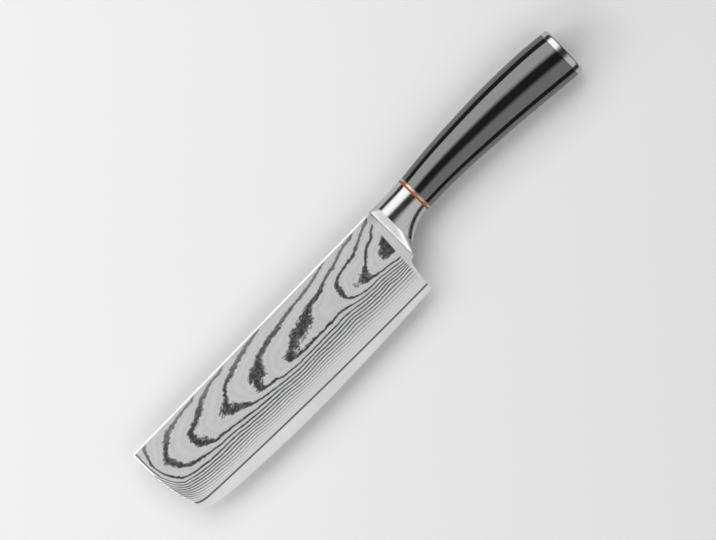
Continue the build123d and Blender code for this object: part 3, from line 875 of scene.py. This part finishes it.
number, etched, above_core = (carried_value(tree, name)
                              for name in ("layer", "etched", "above_core"))
from_tip, depth = knife_measures(tree)
broad_noise = noise_at(tree, 90, (1.0, 1.6, 1.0), 2.0, 0.5)
torn_noise = noise_at(tree, 380, (1.0, 1.5, 1.0), 6.0, 0.78, (3, 1, 2))
ragged = plus_shares(tree, number, (sum_up(tree, "SUBTRACT", broad_noise, 0.5), SWAY),
                     (sum_up(tree, "SUBTRACT", torn_noise, 0.5), TEAR))
off_middle = sum_up(tree, "PINGPONG", ragged, 0.5)
band = ramp_between(tree, depth, FINE_START, FINE_END, HALF_BAND, FINE_BAND)
dark = ramp_between(tree, sum_up(tree, "SUBTRACT", off_middle, band), -0.05, 0.05, 1.0, 0.0)
mottle = noise_at(tree, 700, (1, 1.3, 1), 4.0, 0.7, (7, 5, 1))
near_spine = ramp_between(tree, depth, SPINE_REACH, 1.0, 1.0, SPINE_SHARE)
worn_dark = product(tree, dark, ramp_between(tree, mottle, 0.3, 0.7, 1.0, 0.76), near_spine)
faint = ramp_between(tree, sum_up(tree, "PINGPONG", product(tree, ragged, 3.0), 0.5),
                     0.1, 0.35, FAINT, 0.0)

fade = ramp_between(tree, depth, FADE_END, FADE_START)
leaned = plus_shares(tree, from_tip, (depth, END_LEAN))
end = ramp_between(tree, leaned, PATTERN_END + END_EASE, PATTERN_END)
is_core = ramp_between(tree, above_core, 0.0, -0.3)
pattern = product(tree, sum_up(tree, "ADD", worn_dark, faint), product(tree, fade, end, etched),
                  sum_up(tree, "SUBTRACT", 1.0, is_core))
core_edge = product(tree, ramp_between(tree, above_core, 1.25, 0.75, 0.0, CORE_EDGE),
                    ramp_between(tree, above_core, -0.35, 0.05))
# Painted shadow: a thin dark line just before the bolster's face, and a grey that grows towards
# the bolster and the spine, where the bolster's shade falls on the steel.
painted_joint_shadow = ramp_between(tree, from_tip, 176.8, 177.5, 0.0, PAINTED_JOINT_SHADOW)
painted_corner_shade = product(tree, ramp_between(tree, from_tip, 171.0, 177.8),
                     ramp_between(tree, depth, 10.0, 1.0), PAINTED_CORNER_SHADE)
# How dark the steel is: the etched layers and the dark line over the core, plus the painted shadow
# at the bolster.
shade = sum_up(tree, "ADD", sum_up(tree, "MAXIMUM", pattern, core_edge),
               sum_up(tree, "ADD", painted_joint_shadow, painted_corner_shade), clamp=True)
print("nodes that say where the steel is dark:", len(tree.nodes))

# %% Material of the layered sides
cloudy = place_group(tree, handled_group, Cloud_Size=45.0, Speck_Size=2400.0)
lines = place_group(tree, lines_group, Density=1500.0, Stretch=0.03)
# Painted highlight: the bevel is painted lighter from 30 to 43 mm below the spine, for the light
# that its tilt catches.
painted_bevel_light = ramp_between(tree, depth, 30.0, 43.0)
light_steel = mixed(tree, lines["Lines"], grey(0.78), grey(0.88))
light_steel = mixed(tree, painted_bevel_light, light_steel, grey(0.96))
light_steel = mixed(tree, is_core, light_steel, grey(0.9))
light_steel = mixed(tree, product(tree, cloudy["Clouds"], 0.2), light_steel, grey(0.5))
surface(tree, shader, mixed(tree, shade, light_steel, DARK_LAYER),
        plus_shares(tree, 0.5, (shade, 0.1), (cloudy["Clouds"], 0.05)),
        sum_up(tree, "SUBTRACT", product(tree, lines["Lines"], 0.06), shade), 0.000010)
dress(layered, left_side, right_side)

# %% [markdown]
# Core steel
# The hard core comes out of the grind as a bright band below the layered cladding, and it is
# honed along the edge. It is ground with finer grit than the sides: the lines are
# thinner and the steel is brighter and more even.

# %% Material of the core
core_finish = lined_metal("core_steel_honed", (1900.0, 0.03), (50.0, 2500.0), grey(0.85),
                          grey(0.91), 0.56, {"Clouds": 0.06}, 0.000002)[0]
dress(core_finish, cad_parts["blade_core"])

# %% [markdown]
# Polished steel
# Bolster and cap are polished along their length. The lines are hardly visible, but they soften
# each highlight's edge. Clouds of handling make the gloss uneven. The bolster's sloped front is
# left satin, so it doesn't mirror the blade.

# %% Material of bolster and cap
polished, tree, shader, rough = lined_metal(
    "polished_steel_lined", (1300.0, 0.02), (110.0, 3000.0), grey(0.46), grey(0.57), 0.12,
    {"Clouds": 0.05, "Broad": 0.06}, 0.0000015)
satin = ramp_between(tree, knife_measures(tree)[0], 182.2, 182.7, 0.32, 0.0)
fill(tree, shader, Roughness=sum_up(tree, "ADD", rough, satin))
dress(polished, bolster, cap)

# %% [markdown]
# Brass and fibre
# The ring is turned brass, warm in the light and brown in the shade. The fibre spacer is
# dyed paper pressed hard, matt and slightly streaky.

# %% Materials of ring and spacer
brass = lined_metal("ring_brass_turned", (1500.0, 1.0), (160.0, 3000.0), (0.58, 0.43, 0.24, 1),
                    (0.7, 0.56, 0.36, 1), 0.3, {"Clouds": 0.08}, 0.000002)[0]
dress(brass, brass_band)

fibre, tree, shader = new_finish("red_fibre_pressed")
streaks = noise_at(tree, 1400, (3, 1, 1), 4.0, 0.6)
surface(tree, shader, mixed(tree, streaks, (0.28, 0.022, 0.016, 1), (0.5, 0.08, 0.05, 1)),
        ramp_between(tree, streaks, 0.3, 0.7, 0.4, 0.6), streaks, 0.00001)
dress(fibre, fibre_band)

# %% [markdown]
# Black resin
# The grip is black resin polished to a gloss. It looks grey only where it mirrors the two soft
# lights in long stripes. A very slight waviness from hand polishing, faint
# wiping marks and a few specks keep it from looking like glass.

# %% Material of the grip
resin, tree, shader = new_finish("black_resin_gloss", IOR=2.25)
cloudy = place_group(tree, handled_group, Cloud_Size=70.0, Speck_Size=1500.0)
lines = place_group(tree, lines_group, Density=800.0, Stretch=0.05)
black = mixed(tree, cloudy["Specks"], (0.005, 0.005, 0.006, 1), (0.018, 0.018, 0.02, 1))
surface(tree, shader, black,
        plus_shares(tree, 0.075, (cloudy["Clouds"], 0.03), (lines["Broad"], 0.02)),
        noise_at(tree, 60, (0.5, 1, 1), 1.0, 0.4, (2, 2, 2)), 0.00001)
dress(resin, grip)

# %% [markdown]
# Hidden parts
# Tang, washer and nut are plain steel, and the bedding is cured epoxy. Nobody sees them in the
# finished knife, but they are real parts of it and get their real finishes: mill scale and
# turning lines on the steel, amber clouds in the epoxy.

# %% Materials of the hidden parts
plain_steel = lined_metal("tang_steel_milled", (1200.0, 0.1), (120.0, 2000.0),
                          (0.46, 0.46, 0.47, 1), (0.28, 0.27, 0.27, 1), 0.34, {"Lines": 0.2},
                          0.00001, tint="Clouds")[0]
dress(plain_steel, *(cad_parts[node] for node in ("tang", "tang_washer", "tang_nut")))

epoxy, tree, shader = new_finish("epoxy_cured")
cloudy = place_group(tree, handled_group, Cloud_Size=200.0, Speck_Size=900.0)
surface(tree, shader, mixed(tree, cloudy["Clouds"], (0.42, 0.29, 0.1, 1), (0.62, 0.48, 0.22, 1)),
        ramp_between(tree, cloudy["Specks"], 0, 1, 0.3, 0.6), cloudy["Specks"], 0.00003)
dress(epoxy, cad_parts["tang_bedding"])

# %% [markdown]
# Floor, light and camera
# The knife lies on a large pale floor. Two long soft panels hang on either side of it, one
# brighter than the other, and leave a gap overhead: that gap is the dark stripe down the middle
# of the grip and the bolster. They end well above the floor, which leaves a second dark line
# near each rim. A third, low card beyond the tip lights the bolster's sloped front. The camera
# looks straight down, as the picture was taken. From below the floor is clear, so that the
# knife's other side can be looked at.
# %% Floor
HALF_FLOOR, PAPER = 8.0, (0.845, 0.845, 0.845, 1)
floor_mesh = bpy.data.meshes.new("floor")
corners = HALF_FLOOR * np.array([(-1, -1, 0), (1, -1, 0), (1, 1, 0), (-1, 1, 0)])
floor_mesh.from_pydata(corners.tolist(), [], [(0, 1, 2, 3)])
floor = new_object("floor", floor_mesh)
paper, tree, shader = new_finish("pale_paper", Base_Color=PAPER, Roughness=0.9,
                                 Specular_IOR_Level=0.1)
clear = tree.nodes.new("ShaderNodeBsdfTransparent")
side = tree.nodes.new("ShaderNodeNewGeometry")
choice = tree.nodes.new("ShaderNodeMixShader")
tree.links.new(side.outputs["Backfacing"], choice.inputs[0])
tree.links.new(shader.outputs[0], choice.inputs[1])
tree.links.new(clear.outputs[0], choice.inputs[2])
tree.links.new(choice.outputs[0], tree.nodes["Material Output"].inputs["Surface"])
dress(paper, floor)


# %% Soft panels
PANEL_DISTANCE, PANEL_TILT, PANEL_LENGTH, LAMP_GAP = 0.8, 46.5, 2.0, 0.01
ROOM_LIGHT = (0.04, 0.04, 0.04, 1)


def lamp_facing(name, place, length, width, radiance):
    """Area lamp at place (x, y, z) that faces the knife with its long side level. Its power is
    radiance times pi times its area."""
    lamp = bpy.data.lights.new(name, "AREA")
    lamp.shape = "RECTANGLE"
    lamp.size, lamp.size_y = length, width
    lamp.energy = radiance * math.pi * length * width
    obj = new_object(name, lamp)
    obj.location = place
    x, y, z = place
    obj.rotation_euler = (math.atan2(math.hypot(x, y), z), 0, math.atan2(y, x) + math.pi / 2)
    obj.visible_camera = False
    print(name, "width and power:", round(width, 3), round(lamp.energy, 3))
    return obj


def feathered_panel(name, side, inner_angles, outer_angle, radiance):
    """Long panel beside the knife, on the spine's side (1) or the edge's (-1). Its plane is square
    to a line PANEL_TILT from upright. Lamps of equal radiance reach from each inner angle to the
    outer one, so its inner border fades in steps that the gloss blurs away. Each hangs LAMP_GAP
    behind the one before, because a ray that meets two lamps in one plane sees only one."""
    tilt = math.radians(PANEL_TILT)
    outer = math.tan(math.radians(outer_angle) - tilt)
    for k, angle in enumerate(inner_angles):
        away = PANEL_DISTANCE + k * LAMP_GAP
        inner = math.tan(math.radians(angle) - tilt)
        middle = (outer + inner) / 2
        out = away * (math.sin(tilt) + middle * math.cos(tilt))
        up = away * (math.cos(tilt) - middle * math.sin(tilt))
        obj = lamp_facing(f"{name}_{k}", (0, side * out, up), PANEL_LENGTH,
                          away * (outer - inner), radiance / len(inner_angles))
        obj.rotation_euler[0] = tilt


feathered_panel("spine_panel", side=1, inner_angles=(13.5, 17.5, 22.0), outer_angle=63.0,
                radiance=1.78)
feathered_panel("edge_panel", side=-1, inner_angles=(13.0, 17.0, 21.0), outer_angle=64.0,
                radiance=0.8)
lamp_facing("tip_card", place=(-1.5, 0, 0.58), length=2.6, width=1.15, radiance=2.8)

world = bpy.data.worlds.new("room")
world.use_nodes = True
world.node_tree.nodes["Background"].inputs[0].default_value = ROOM_LIGHT
bpy.context.scene.world = world

# %% Camera
LENS, SENSOR, FRAME_WIDTH = 350.0, 36.0, 0.3754
MIDDLE_X, MIDDLE_Y, KNIFE_TOP = -0.0035, 0.0081, 0.010
CAMERA_TURN = -45.7
camera_data = bpy.data.cameras.new("camera")
camera_data.lens, camera_data.sensor_width = LENS, SENSOR
camera_data.clip_end = 50.0
camera = new_object("camera", camera_data)
camera.location = (MIDDLE_X, MIDDLE_Y, KNIFE_TOP + LENS / SENSOR * FRAME_WIDTH)
camera.rotation_euler = (0, 0, math.radians(CAMERA_TURN))
bpy.context.scene.camera = camera
bpy.context.scene.view_settings.view_transform = "Standard"
print("camera height, m:", round(camera.location.z, 3))
